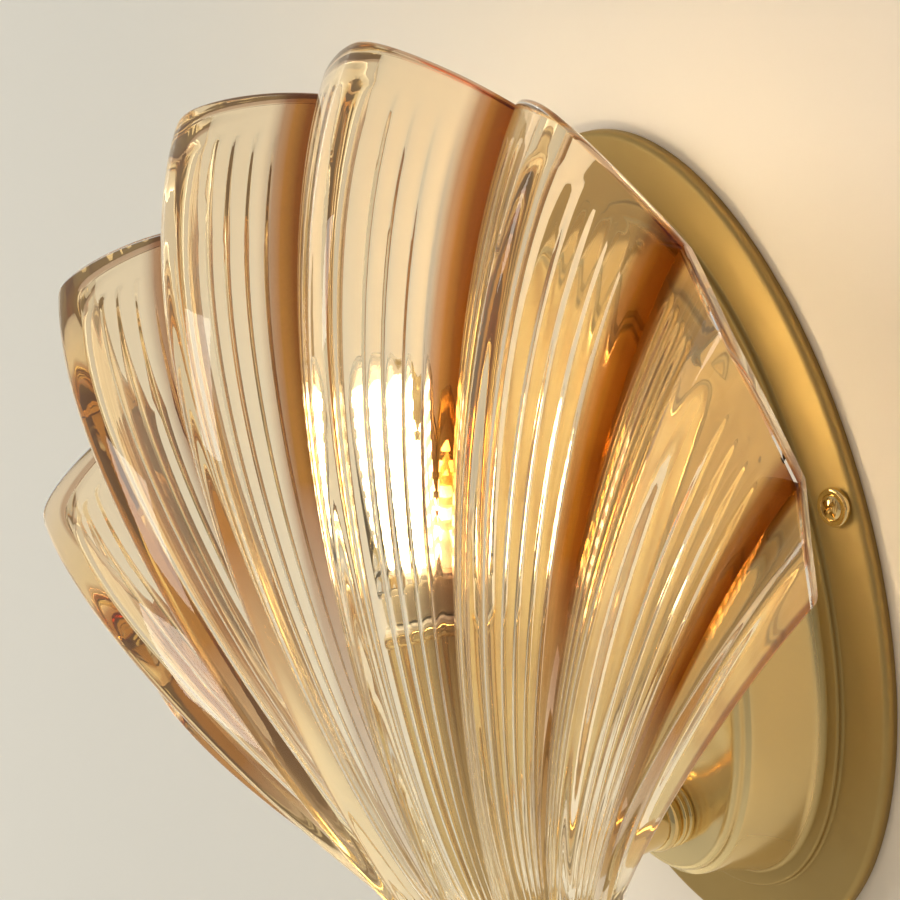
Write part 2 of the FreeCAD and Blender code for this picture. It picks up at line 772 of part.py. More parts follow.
def glass_shade():
    skin = Part.makeShell(glass_skin())
    skin.sewShape()
    shell = Part.makeSolid(skin)
    if shell.Volume < 0:
        shell.reverse()
    r, e = boss_radius, boss_edge
    profile = [(post_hole / 2, 0), (r - e, 0)]
    profile += quarter(r - e, e, e, -90, 0, 6)
    profile += [(r, boss_floor - 1)]
    profile += quarter(r - 1, boss_floor - 1, 1, 0, 90, 3)
    profile += [(post_hole / 2, boss_floor)]
    boss = turned(profile, at(0, lamp_out, glass_floor_bottom), UP)
    clear = rod(post_hole, at(0, lamp_out, glass_floor_bottom - boss_floor), UP, 3 * boss_floor)
    seat = rod(2 * (cup_radius + 1.0), at(0, lamp_out, glass_floor_top), UP, cup_height)
    return shell.fuse(boss).cut(clear).cut(seat)


# ---------------------------------------------------------------- all pieces

pieces = {
    "back_plate": back_plate,
    "wall_bracket": wall_bracket,
    "cover_screw_left": lambda: cover_screw(-1),
    "cover_screw_right": lambda: cover_screw(1),
    "cable_grommet": cable_grommet,
    "earth_tag": earth_tag,
    "earth_screw": earth_screw,
    "terminal_block": terminal_block,
    "terminal_screws": terminal_screws,
    "arm_tube": arm_tube,
    "arm_collar": arm_collar,
    "arm_thread": arm_thread,
    "arm_lock_washer": arm_lock_washer,
    "arm_lock_nut": arm_lock_nut,
    "supply_lead": supply_lead,
    "holder_cup": holder_cup,
    "holder_bridge": holder_bridge,
    "holder_screws": holder_screws,
    "lamp_socket": lamp_socket,
    "socket_contacts": holder_contacts,
    "lamp_base": lamp_base,
    "lamp_pins": lamp_pins,
    "lamp_core": lamp_core,
    "lamp_chips": lamp_chips,
    "lamp_cover": lamp_cover,
    "shade_post": shade_post,
    "post_lock_nut": post_lock_nut,
    "upper_gasket": lambda: gasket(cup_bottom),
    "lower_gasket": lambda: gasket(glass_floor_bottom),
    "post_washer": post_washer,
    "finial_nut": finial_nut,
    "glass_shade": glass_shade,
}

os.makedirs("parts", exist_ok=True)
for name, make in pieces.items():
    shape = make()
    box = shape.BoundBox
    print("%-20s solids %3d valid %s volume %9.1f  x %6.1f %6.1f  out %6.1f %6.1f  z %6.1f %6.1f" % (
        name, len(shape.Solids), shape.isValid(), shape.Volume, box.XMin, box.XMax, -box.YMax, -box.YMin,
        box.ZMin, box.ZMax))
    shape.exportStep("parts/" + name + ".step")
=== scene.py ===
"""Looks of the shell wall sconce: brass plate, arm and holder, a lit lamp, and the ribbed amber glass shell.

Metres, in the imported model's own frame: X right, Z up, the wall is Y = 0 and the room is towards -Y.
"""
import json
import math

import bpy
import numpy as np
from mathutils import Matrix, Vector


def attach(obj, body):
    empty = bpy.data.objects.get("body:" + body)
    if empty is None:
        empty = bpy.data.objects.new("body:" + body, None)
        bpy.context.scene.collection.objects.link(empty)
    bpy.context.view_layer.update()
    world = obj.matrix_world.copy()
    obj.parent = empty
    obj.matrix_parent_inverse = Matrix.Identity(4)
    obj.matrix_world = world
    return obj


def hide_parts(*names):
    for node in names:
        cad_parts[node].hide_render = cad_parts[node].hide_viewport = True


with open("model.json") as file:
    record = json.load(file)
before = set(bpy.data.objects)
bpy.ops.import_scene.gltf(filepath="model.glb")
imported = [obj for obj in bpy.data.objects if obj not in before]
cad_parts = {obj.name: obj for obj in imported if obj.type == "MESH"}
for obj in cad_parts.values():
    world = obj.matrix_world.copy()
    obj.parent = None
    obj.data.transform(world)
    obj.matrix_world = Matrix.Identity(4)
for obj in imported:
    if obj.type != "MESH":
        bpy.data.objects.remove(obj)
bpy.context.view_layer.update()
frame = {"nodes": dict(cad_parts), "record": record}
MM = 0.001

# ---------------------------------------------------------------- sizes (mm), as in the part

PLATE_W, PLATE_H = 50.5, 84.0
LAMP_OUT = 65.0
ARM_Z = -51.0
RIM_OUT, RIM_R, RIM_DRAW, RIM_END = 62.3, 102.0, 7.5, 96.5
GROOVES = (0.0, 31.5, 57.5, 84.0, RIM_END)
LOBE_RIM = (13.5, 20.0, 21.0, 7.0)
LOBE_MID = (20.0, 20.0, 17.0, 8.0)
LOBE_FOOT = (8.0, 8.0, 6.0, 2.0)
HALF_WIDTHS = (0.0, 0.08, 0.22, 0.40)      # poles of half a lobe, as shares of its width,
HALF_RISES = (0.0, 0.27, 0.64, 0.97)       # and how far each is raised
LOBE_TURNS = (0.0, 0.12, 0.32, 0.5, 0.68, 0.88, 1.0)
LEAN, CREST_RISE, HOLLOW = 52.0, 1.06, 0.9
WALL = 5.5
UMBO, CROWN, EDGE, FALL = -76.0, 33.0, 8.0, 1.25
LOW_REACH, FAR_MID, FAR_EDGE = 38.0, 0.74, 0.82
BASE_R, BASE_SPREAD, BASE_Z = 16.0, 110.0, -68.0
FLOOR_TOP, FLOOR_BOTTOM = -62.0, -72.0
BOSS_R, BOSS_EDGE, HOLE_R, SEAT_R = 17.5, 3.0, 5.5, 12.5
SCREW_X, RING_OUT, PLATFORM_OUT = 45.5, 3.0, 24.0
CUP_BOTTOM, CUP_HEIGHT, CUP_R, CUP_BORE, LEDGE = -60.0, 59.0, 11.5, 10.0, -24.0
LAMP_BOTTOM, LAMP_BASE_R, LAMP_BASE_HIGH = 0.5, 8.0, 7.0
COVER_R, COVER_HIGH, COVER_BOTTOM = 10.0, 45.0, 6.0


# ---------------------------------------------------------------- mesh helpers

POLE = 1e-4                                # a ring this small is merged to one point
MERGE = 0.0005


def deselect():
    if bpy.context.object and bpy.context.object.mode != "OBJECT":
        bpy.ops.object.mode_set(mode="OBJECT")
    bpy.ops.object.select_all(action="DESELECT")


def named(name):
    piece = bpy.context.object
    piece.name = name
    piece.data.name = name
    return piece


def place(piece, start, direction):
    """Puts a piece drawn up the Z axis at a start, along a direction; its origin stays at the world's."""
    turn = Vector((0, 0, 1)).rotation_difference(Vector(direction)).to_matrix().to_4x4()
    piece.data.transform(Matrix.Translation(Vector(start)) @ turn @ Matrix.Scale(MM, 4))
    piece.data.update()
    return piece


def stack(name, profile, start, direction, sides=72, tall=0.0):
    """A round or oval piece: a ring extruded and resized along a profile of (radius, height) corners in mm.

    tall is added to each ring's radius along Y, which makes it an oval. A radius of 0 closes the end."""
    deselect()
    radius, height = profile[0]
    bpy.ops.mesh.primitive_circle_add(vertices=sides, radius=1.0, fill_type="NOTHING")
    piece = named(name)
    bpy.ops.object.mode_set(mode="EDIT")
    bpy.ops.mesh.select_all(action="SELECT")
    now = [max(radius, POLE), max(radius + tall, POLE)]
    bpy.ops.transform.resize(value=(now[0], now[1], 1), center_override=(0, 0, 0))
    bpy.ops.transform.translate(value=(0, 0, height))
    for radius, top in profile[1:]:
        after = [max(radius, POLE), max(radius + tall, POLE)]
        bpy.ops.mesh.extrude_region_move()
        bpy.ops.transform.resize(value=(after[0] / now[0], after[1] / now[1], 1), center_override=(0, 0, 0))
        bpy.ops.transform.translate(value=(0, 0, top - height))
        now, height = after, top
    bpy.ops.mesh.select_all(action="SELECT")
    bpy.ops.mesh.remove_doubles(threshold=MERGE)
    bpy.ops.mesh.normals_make_consistent(inside=False)
    bpy.ops.object.mode_set(mode="OBJECT")
    bpy.ops.object.shade_smooth()
    return place(piece, [c * MM for c in start], direction)


def arc(cr, ch, radius, start, stop, steps=6):
    """Corners on an arc round (cr, ch), from one angle to another in degrees."""
    spots = []
    for k in range(steps + 1):
        a = math.radians(start + (stop - start) * k / steps)
        spots.append((cr + radius * math.cos(a), ch + radius * math.sin(a)))
    return spots


def pick(piece):
    """Makes a piece the only one selected, and the active one."""
    deselect()
    bpy.context.view_layer.objects.active = piece
    piece.select_set(True)


def apply(piece, kind, **values):
    pick(piece)
    modifier = piece.modifiers.new(kind.lower(), kind)
    for key, value in values.items():
        setattr(modifier, key, value)
    bpy.ops.object.modifier_apply(modifier=modifier.name)


def hard_edged(piece, angle=40):
    """Shades a piece smooth, but keeps the edges that turn more than the angle."""
    pick(piece)
    bpy.ops.object.shade_smooth_by_angle(angle=math.radians(angle))
    return piece


# ---------------------------------------------------------------- back plate

PLATE_SHEET = 1.2
EDGE_ROUND, EDGE_OUT = 1.4, 1.6
BEAD_IN, BEAD_OUT, BEAD_ROUND = 12.15, 3.95, 0.64
COVE_IN, COVE_OUT, COVE_LEAN, COVE_RISE = 14.5, 4.6, 4.6, 19.4
COVE = ((0, 0), (0.14, 0.05), (0.28, 0.14), (0.42, 0.25), (0.55, 0.36), (0.67, 0.48), (0.78, 0.60),
        (0.87, 0.71), (0.93, 0.80), (0.98, 0.85), (1.0, 0.86))    # shares of its lean and rise
SHOULDER_IN, SHOULDER_OUT, SHOULDER_ROUND = 21.9, 22.4, 1.6


def plate_profile():
    """Corners of the plate's front as (inset, out), inwards: edge, ring, bead, cove and shoulder."""
    corners = [(0.0, 0.0)]
    corners += [(EDGE_ROUND - i, EDGE_OUT + o) for i, o in arc(0, 0, EDGE_ROUND, 0, 90, 6)]
    corners += [(6.0, RING_OUT + 0.02), (11.0, RING_OUT), (11.5, RING_OUT + 0.05)]
    corners += [(BEAD_IN - i, BEAD_OUT + o) for i, o in arc(0, 0, BEAD_ROUND, 0, 90, 5)]
    corners += [(14.2, COVE_OUT)]
    corners += [(COVE_IN + COVE_LEAN * lean, COVE_OUT + COVE_RISE * height) for lean, height in COVE]
    corners += [(20.0, 21.35), (20.3, 21.76)]
    corners += [(SHOULDER_IN - i, SHOULDER_OUT + o) for i, o in arc(0, 0, SHOULDER_ROUND, 0, 90, 6)]
    return corners


def back_plate():
    """A pressed sheet: its back face from the middle to the edge, then its front face back to the middle."""
    corners = plate_profile()
    front = [(PLATE_W - i, o) for i, o in corners] + [(r, PLATFORM_OUT) for r in (22.0, 14.0, 7.0, 0.0)]
    back = [(PLATE_W - i - PLATE_SHEET, max(0.0, o - PLATE_SHEET)) for i, o in corners]
    back += [(r, PLATFORM_OUT - PLATE_SHEET) for r in (14.0, 0.0)]
    profile = back[::-1] + front
    return stack("back_plate_sheet", profile, (0, 0, 0), (0, -1, 0), sides=256, tall=PLATE_H - PLATE_W)


# ---------------------------------------------------------------- ribbed glass shell

def unit(vectors):
    return vectors / np.linalg.norm(vectors, axis=-1, keepdims=True)


def rib_controls(share):
    """Four (x, out, z) controls of each rib, as in the part; share runs from -1 to 1."""
    share = np.asarray(share, float)
    side = np.abs(share)
    turn = np.radians(BASE_SPREAD * share)
    foot = np.stack([BASE_R * np.sin(turn), LAMP_OUT + BASE_R * np.cos(turn), BASE_Z + 0 * side], -1)
    angle = np.radians(RIM_END * share)
    radius = RIM_R - RIM_DRAW * side ** 6
    end = np.stack([radius * np.sin(angle), RIM_OUT + 0 * side, radius * np.cos(angle)], -1)
    rise = end[..., 2] - UMBO
    near = LOW_REACH / np.hypot(end[..., 0], rise)
    far = FAR_MID + (FAR_EDGE - FAR_MID) * side
    depth = RIM_OUT + EDGE + (CROWN - EDGE) * (1 - side ** FALL)
    low = np.stack([end[..., 0] * near, depth, UMBO + rise * near], -1)
    high = np.stack([end[..., 0] * far, depth, UMBO + rise * far], -1)
    return np.stack([foot, low, high, end], -2)


def along(controls, t):
    """Cubic from four controls; t adds a last-but-one axis."""
    shares = np.stack([(1 - t) ** 3, 3 * t * (1 - t) ** 2, 3 * t * t * (1 - t), t ** 3], -1)
    return np.einsum("tk,...kc->...tc", shares, controls)


def square_to_ribs(share, t):
    """Directions square to the sheet of ribs, away from the shell's hollow."""
    step = 0.004
    ribs = rib_controls(share)
    sideways = along(rib_controls(share + step), t) - along(rib_controls(share - step), t)
    upwards = along(ribs, np.minimum(1, t + step)) - along(ribs, np.maximum(0, t - step))
    square = unit(np.cross(sideways, upwards))
    away = along(ribs, t) - np.array([0, RIM_OUT - CROWN, 0])
    return square * np.sign((square * away).sum(-1, keepdims=True))


def spline_shares(u):
    """How much each of a lobe's nine poles counts at u, on a cubic spline with LOBE_TURNS for knots."""
    knots = np.array([0.0] * 3 + list(LOBE_TURNS) + [1.0] * 3)
    inside = np.clip(u, 0, 1 - 1e-9)[:, None]
    share = ((inside >= knots[:-1]) & (inside < knots[1:])).astype(float)
    for degree in (1, 2, 3):
        low, high = knots[:-degree], knots[degree:]
        width = high - low
        rise = np.where(width > 0, (inside - low) / np.where(width > 0, width, 1), 0)
        share = rise[:, :-1] * share[:, :-1] + (1 - rise[:, 1:]) * share[:, 1:] * (width[1:] > 0)
    return share


def lobe(k, side, u, t, inner):
    """Points of one lobe of the outer or inner glass, for all u across and t along."""
    start, stop = side * GROOVES[k] / RIM_END, side * GROOVES[k + 1] / RIM_END
    places = np.array(HALF_WIDTHS + (0.5,) + tuple(1 - w for w in reversed(HALF_WIDTHS)))
    thirds = np.array([0, 1 / 3, 2 / 3, 1.0])
    middle = np.array([(start + stop) / 2])
    rise = square_to_ribs(middle, thirds)[0] * np.array([0, LOBE_FOOT[k], LOBE_MID[k], LOBE_RIM[k]])[:, None]
    angle, lean = math.radians(RIM_END * middle[0]), math.radians(LEAN)
    level = math.cos(lean)
    rise[3] = LOBE_RIM[k] * np.array([math.sin(angle) * level, math.sin(lean), math.cos(angle) * level])
    share = start + (stop - start) * places
    poles = rib_controls(share)
    raised = np.array(HALF_RISES + (CREST_RISE,) + tuple(reversed(HALF_RISES))) * (HOLLOW if inner else 1.0)
    poles = poles + raised[:, None, None] * rise
    if inner:
        poles = poles - WALL * square_to_ribs(share, thirds)
    return along(np.einsum("ui,ikc->ukc", spline_shares(u), poles), t)


FLUTES = (0.065, 0.12, 0.18, 0.255, 0.345, 0.655, 0.745, 0.82, 0.88, 0.935)    # where they meet across a lobe
BROAD = 0.2                                # a flute that takes more of the lobe is the broad one on its crest
FLUTE_END, FLUTE_FADE = 6.5, 30.0          # plain glass below the rim, then how far a flute takes to deepen
FLUTE_START, FLUTE_RISE = 12.0, 8.0        # the same above the foot
TIP_LONGEST = 3.0
SPREAD = 1.25                              # a lobe's inner face is this much longer than its chord
PAINTED_SHADE_REACH, PAINTED_SHADE_FADE = 0.08, 0.04         # how far the painted groove shade reaches across a lobe
RIM_ROUND = 1.1
RIM_EDGE = ((0.012, 0.35), (0.05, 0.7), (0.13, 0.95), (0.24, 1.0), (0.5, 1.0))    # shares across and up
# painted shade on the rim, as shares of the groove shade: strong at its corners, faint on its top
RIM_CORNER_PAINTED_SHADE, RIM_TOP_PAINTED_SHADE = 0.8, 0.15
SIDE_TURN = (0.18, 0.5, 0.82)              # places across the wall where the lower edges are rounded


def across_a_lobe():
    """Places across a lobe: a few on each plain side, then evenly over every flute."""
    places = [0.0, 0.012, 0.03, 0.048]
    for low, high in zip(FLUTES, FLUTES[1:]):
        count = 14 if high - low > BROAD else 8
        places += [low + (high - low) * k / count for k in range(count)]
    return np.array(places + [FLUTES[-1], 0.952, 0.97, 0.988, 1.0])


def flute_depth(u, from_rim, from_foot, width):
    """How deep the flutes cut the inside, in mm: one broad one on the crest, narrow ones down both sides."""
    depth = np.zeros(from_rim.shape)
    for low, high in zip(FLUTES, FLUTES[1:]):
        deepest, land, power = (1.0, 0.94, 0.6) if high - low > BROAD else (0.7, 0.84, 0.8)
        side = np.abs(2 * (u - low) / (high - low) - 1)[:, None] / land
        hollow = np.clip(1 - side ** 2, 0, 1)
        tip = (1 - np.sqrt(hollow)) * min(width * (high - low) / 2, TIP_LONGEST)
        end = np.clip((from_rim - FLUTE_END - tip) / FLUTE_FADE, 0, 1)
        foot = np.clip((from_foot - FLUTE_START - tip) / FLUTE_RISE, 0, 1)
        inside = ((u >= low) & (u <= high))[:, None]
        depth += inside * deepest * hollow ** power * np.sqrt(end * (2 - end)) * foot * (2 - foot)
    return depth


def glass_rings(rows):
    """Outer and inner points (across, along, 3) in mm, with the mask of painted groove shade and the places
    along each rib.
    """
    u = across_a_lobe()
    t = np.concatenate([np.linspace(0, 0.9, rows), np.linspace(0.9, 1, 18)[1:]])
    outer, inner, groove = [], [], []
    order = [(k, -1) for k in range(len(GROOVES) - 2, -1, -1)] + [(k, 1) for k in range(len(GROOVES) - 1)]
    for k, side in order:
        front = lobe(k, side, u, t, False)
        back = lobe(k, side, u, t, True)
        reach = np.linalg.norm(np.diff(back, axis=1), axis=-1)
        run = np.concatenate([np.zeros((len(u), 1)), np.cumsum(reach, 1)], 1)
        width = np.linalg.norm(back[0, -1] - back[-1, -1]) * SPREAD
        if k < len(GROOVES) - 2:           # the lowest lobes are plain
            depth = flute_depth(u, run[:, -1:] - run, run, width) * np.clip(t * 4, 0, 1)
            back = back + unit(front - back) * depth[..., None]
        # painted shade along each groove, standing in for the dark amber that the thick glass shows there
        near = np.clip((PAINTED_SHADE_REACH - np.minimum(u, 1 - u)) / PAINTED_SHADE_FADE, 0, 1)
        painted_shade = (near * near * (3 - 2 * near))[:, None] + 0 * run
        if side < 0:
            front, back, painted_shade = front[::-1], back[::-1], painted_shade[::-1]
        shared = 1 if outer else 0         # the groove that this lobe shares with the one before it
        outer.append(front[shared:])
        inner.append(back[shared:])
        groove.append(painted_shade[shared:])
    return np.concatenate(outer), np.concatenate(inner), np.concatenate(groove), t


def side_turn(start, stop, way):
    """The rounded lower edge: points from one face to the other, pushed out along a way."""
    return [start + (stop - start) * share + way * (np.sin(np.pi * share) * 0.9) for share in SIDE_TURN]


def glass_shell():
    """A grid wrapped round the shell: along the outer face, round the lower edge, back along the inner."""
    outer, inner, groove, t = glass_rings(34)
    columns, rows = outer.shape[:2]
    start = (outer[:, 0] + inner[:, 0]) / 2
    loops, masks, heights = [(start, start)], [groove[:, 0]], [0.0]
    for j in range(rows):
        loops.append((outer[:, j], inner[:, j]))
        masks.append(groove[:, j])
        heights.append(t[j])
    front, back = outer[:, -1], inner[:, -1]
    down = unit(outer[:, -2] - outer[:, -1]) * RIM_ROUND
    loops[-1] = (front + down, back + down)
    for share, lift in RIM_EDGE:
        drop = down * (1 - lift)
        loops.append((front + (back - front) * share + drop, back + (front - back) * share + drop))
        # the rim's rounded corners get strong painted shade, its top faint painted shade
        masks.append(np.maximum(groove[:, -1], RIM_CORNER_PAINTED_SHADE if lift < 1.0 else RIM_TOP_PAINTED_SHADE))
        heights.append(1.0)
    deselect()
    round_count = 2 * columns + 2 * len(SIDE_TURN) + 1
    bpy.ops.mesh.primitive_grid_add(x_subdivisions=round_count - 1, y_subdivisions=len(loops) - 1, size=1.0)
    points, edge, high = [], [], []
    # the rounded lower edges are fully darkened by painted shade
    full = [1.0] * len(SIDE_TURN)
    for (front, back), mask, height in zip(loops, masks, heights):
        way_right = unit(front[-1] - front[-2]) * min(1.0, np.linalg.norm(front[-1] - back[-1]) / 3)
        way_left = unit(front[0] - front[1]) * min(1.0, np.linalg.norm(front[0] - back[0]) / 3)
        ring = list(front) + side_turn(front[-1], back[-1], way_right)
        ring += list(back[::-1]) + side_turn(back[0], front[0], way_left) + [front[0]]
        points.append(np.array(ring))
        edge.append(np.concatenate([mask, full, mask[::-1], full, mask[:1]]))
        high.append(np.full(round_count, height))
    # the groove layer holds the painted groove shade; height runs from foot to rim
    layers = {"groove": np.array(edge), "height": np.array(high)}
    return place_grid(named("glass_shell"), np.array(points), layers)


def place_grid(piece, points, layers):
    """Gives a grid's vertices their places (x, out, z in mm), its named layers, and closes it."""
    mesh = piece.data
    flat = points.reshape(-1, 3)
    world = np.stack([flat[:, 0], -flat[:, 1], flat[:, 2]], -1) * MM
    mesh.vertices.foreach_set("co", world.ravel())
    for name, values in layers.items():
        layer = mesh.attributes.new(name, "FLOAT", "POINT")
        layer.data.foreach_set("value", values.ravel().astype(np.float32))
    mesh.update()
    pick(piece)
    bpy.ops.object.mode_set(mode="EDIT")
    bpy.ops.mesh.select_all(action="SELECT")
    bpy.ops.mesh.remove_doubles(threshold=0.00001)
    bpy.ops.mesh.dissolve_degenerate(threshold=0.000001)
    bpy.ops.mesh.select_all(action="SELECT")
    bpy.ops.mesh.normals_make_consistent(inside=False)
    bpy.ops.mesh.flip_normals()
    bpy.ops.object.mode_set(mode="OBJECT")
    return piece


def glass_foot():
    """The round foot the shell stands on."""
    profile = [(0.0, 0), (BOSS_R - BOSS_EDGE, 0)] + arc(BOSS_R - BOSS_EDGE, BOSS_EDGE, BOSS_EDGE, -90, 0, 8)
    profile += [(BOSS_R, 8.8)] + arc(BOSS_R - 1, 8.99, 1, 0, 90, 5) + [(0.0, 9.99)]
    return stack("glass_foot", profile, (0, -LAMP_OUT, FLOOR_BOTTOM), (0, 0, 1), sides=96)


def cut_or_fuse(piece, tool, operation):
    apply(piece, "BOOLEAN", object=tool, operation=operation, solver="EXACT")
    bpy.data.objects.remove(tool)


def glass_shade():
    """The ribbed shell on its foot, with the seat for the holder and the hole for its post."""
    shell = glass_shell()
    cut_or_fuse(shell, glass_foot(), "UNION")
    seat = [(0.0, -12), (HOLE_R, -12), (HOLE_R, 0), (SEAT_R, 0), (SEAT_R, 50), (0.0, 50)]
    cutter = stack("seat_cutter", seat, (0, -LAMP_OUT, FLOOR_TOP), (0, 0, 1), sides=96)
    cut_or_fuse(shell, cutter, "DIFFERENCE")
    return hard_edged(shell, 35)


# ---------------------------------------------------------------- materials

def add(tree, kind, **inputs):
    """A new node, with the inputs that are named here set."""
    node = tree.nodes.new("ShaderNode" + kind)
    for key, value in inputs.items():
        node.inputs[key.replace("_", " ")].default_value = value
    return node


def ranged(tree, source, start, stop, low=0.0, high=1.0):
    """Turns a value that runs from start to stop into one that runs from low to high."""
    node = add(tree, "MapRange", From_Min=start, From_Max=stop, To_Min=low, To_Max=high)
    tree.links.new(source, node.inputs["Value"])
    return node.outputs["Result"]


def worked_out(tree, operation, first, second):
    """One step of arithmetic; each side is a plain number or another node's output."""
    node = tree.nodes.new("ShaderNodeMath")
    node.operation = operation
    for side, value in zip(node.inputs, (first, second)):
        if isinstance(value, float):
            side.default_value = value
        else:
            tree.links.new(value, side)
    return node.outputs[0]


def mixed(tree, share, first, second, blend="MIX"):
    """A colour between two; each is a plain colour or another node's output."""
    node = tree.nodes.new("ShaderNodeMix")
    node.data_type = "RGBA"
    node.blend_type = blend
    tree.links.new(share, node.inputs["Factor"])
    for key, colour in (("A", first), ("B", second)):
        if isinstance(colour, tuple):
            node.inputs[key].default_value = (*colour, 1)
        else:
            tree.links.new(colour, node.inputs[key])
    return node.outputs["Result"]


def variation_group():
    """Soft blotches and fine grain, from two colours and a range of roughness."""
    group = bpy.data.node_groups.new("surface variation", "ShaderNodeTree")
    socket = group.interface.new_socket
    for name, kind, value in (
            ("Colour", "Color", (0.8, 0.8, 0.8, 1)), ("Aged Colour", "Color", (0.6, 0.6, 0.6, 1)),
            ("Aged Amount", "Float", 0.3), ("Scale", "Float", 60.0),
            ("Smoothest", "Float", 0.2), ("Roughest", "Float", 0.3), ("Bump", "Float", 0.02)):
        socket(name=name, in_out="INPUT", socket_type="NodeSocket" + kind).default_value = value
    for name, kind in (("Colour", "Color"), ("Roughness", "Float"), ("Normal", "Vector")):
        socket(name=name, in_out="OUTPUT", socket_type="NodeSocket" + kind)
    link = group.links.new
    given, out = group.nodes.new("NodeGroupInput").outputs, group.nodes.new("NodeGroupOutput").inputs
    where = add(group, "TexCoord").outputs["Object"]
    broad, fine = add(group, "TexNoise", Detail=3), add(group, "TexNoise", Detail=4)
    link(where, broad.inputs["Vector"])
    link(where, fine.inputs["Vector"])
    link(given["Scale"], broad.inputs["Scale"])
    link(worked_out(group, "MULTIPLY", given["Scale"], 14.0), fine.inputs["Scale"])
    aged = add(group, "MapRange", From_Min=0.35, From_Max=0.7)
    link(broad.outputs["Fac"], aged.inputs["Value"])
    link(given["Aged Amount"], aged.inputs["To Max"])
    link(mixed(group, aged.outputs["Result"], given["Colour"], given["Aged Colour"]), out["Colour"])
    rough = add(group, "MapRange", From_Min=0.3, From_Max=0.7)
    link(fine.outputs["Fac"], rough.inputs["Value"])
    link(given["Smoothest"], rough.inputs["To Min"])
    link(given["Roughest"], rough.inputs["To Max"])
    link(rough.outputs["Result"], out["Roughness"])
    bump = add(group, "Bump", Distance=0.0002)
    link(given["Bump"], bump.inputs["Strength"])
    link(fine.outputs["Fac"], bump.inputs["Height"])
    link(bump.outputs["Normal"], out["Normal"])
    return group


VARIATION = variation_group()


def new_material(name, smooth, rough, scale, bump, **inputs):
    """A material with roughness and relief from the variation group, and with it its shader and group."""
    m = bpy.data.materials.new(name)
    m.use_nodes = True
    shader = m.node_tree.nodes["Principled BSDF"]
    group = m.node_tree.nodes.new("ShaderNodeGroup")
    group.node_tree = VARIATION
    for key, value in (("Scale", scale), ("Smoothest", smooth), ("Roughest", rough), ("Bump", bump)):
        group.inputs[key].default_value = value
    for key in ("Roughness", "Normal"):
        m.node_tree.links.new(group.outputs[key], shader.inputs[key])
    for key, value in inputs.items():
        shader.inputs[key.replace("_", " ")].default_value = value
    return m, shader, group


def material(name, colour, aged, smooth, rough, scale=60.0, amount=0.35, bump=0.02, **inputs):
    """A plain finish, blotched between two colours; other inputs of its shader are set by name."""
    m, shader, group = new_material(name, smooth, rough, scale, bump, **inputs)
    group.inputs["Colour"].default_value = (*colour, 1)
    group.inputs["Aged Colour"].default_value = (*aged, 1)
    group.inputs["Aged Amount"].default_value = amount
    m.node_tree.links.new(group.outputs["Colour"], shader.inputs["Base Color"])
    return m


def give(piece, m):
    piece.data.materials.clear()
    piece.data.materials.append(m)
    return piece


def let_light_through(m, shadow):
    """Shadow rays meet only this share of a clear piece, so the lamp inside lights what is round it."""
    ray = m.node_tree.nodes.new("ShaderNodeLightPath").outputs["Is Shadow Ray"]
    m.node_tree.links.new(ranged(m.node_tree, ray, 0.0, 1.0, 1.0, shadow),
                          m.node_tree.nodes["Principled BSDF"].inputs["Alpha"])


def painted_on(tree, name):
    """The value that a piece's mesh holds under a name."""
    node = tree.nodes.new("ShaderNodeAttribute")
    node.attribute_name = name
    return node.outputs["Fac"]


GLASS_TINTS = ((0.0, (1.0, 1.0, 1.0)), (0.35, (1.0, 1.0, 0.98)), (0.65, (1.0, 0.94, 0.83)),
               (0.92, (1.0, 0.89, 0.74)), (1.0, (1.0, 0.90, 0.76)))      # from foot to rim
# painted shade: the dark amber laid along the grooves
GROOVE_PAINTED_SHADE = (0.26, 0.07, 0.005)
DEPTH_TINT, DEPTH_STRENGTH = (1.0, 0.93, 0.74), 95.0
# painted glow: the glass gives off faint amber light of its own, standing in for lamp light scattered in it,
# dimmer along the grooves
PAINTED_GLASS_GLOW, PAINTED_GROOVE_GLOW, PAINTED_GLOW_STRENGTH = (1.0, 0.74, 0.40), (0.30, 0.08, 0.0), 0.034


def glass_material():
    """Amber glass: clear at the foot, deeper to the rim, with painted shade along the grooves and a faint
    painted glow.
    """
    m, shader, _ = new_material("amber glass", 0.0, 0.03, 18.0, 0.03, Transmission_Weight=1.0, IOR=1.5,
                                Emission_Strength=PAINTED_GLOW_STRENGTH)
    tree = m.node_tree
    height = painted_on(tree, "height")
    ramp = tree.nodes.new("ShaderNodeValToRGB")
    while len(ramp.color_ramp.elements) < len(GLASS_TINTS):
        ramp.color_ramp.elements.new(0.5)
    for element, (at, colour) in zip(ramp.color_ramp.elements, GLASS_TINTS):
        element.position = at
        element.color = (*colour, 1)
    tree.links.new(height, ramp.inputs["Fac"])
    above_foot = ranged(tree, height, 0.1, 0.6, 0.12, 1.0)
    # painted groove shade, weaker towards the foot
    groove_painted_shade = worked_out(tree, "MULTIPLY", painted_on(tree, "groove"), above_foot)
    tree.links.new(mixed(tree, groove_painted_shade, ramp.outputs["Color"], GROOVE_PAINTED_SHADE), shader.inputs["Base Color"])
    # painted glow, dimmer where the grooves carry painted shade
    tree.links.new(mixed(tree, groove_painted_shade, PAINTED_GLASS_GLOW, PAINTED_GROOVE_GLOW), shader.inputs["Emission Color"])
    m.cycles.emission_sampling = "NONE"
    let_light_through(m, 0.03)
    depth = add(tree, "VolumeAbsorption", Color=(*DEPTH_TINT, 1), Density=DEPTH_STRENGTH)
    tree.links.new(depth.outputs[0], tree.nodes["Material Output"].inputs["Volume"])
    return m


RING_ENDS, COVE_STARTS = -0.0046, -0.0062  # on the Y axis, in metres
POLISH = 0.25                              # how rough the polished brass is beside the satin ring
# painted shade: the flat ring's colour is multiplied by this, so that it glares less from the lamp
RING_PAINTED_SHADE = (0.58, 0.52, 0.40)


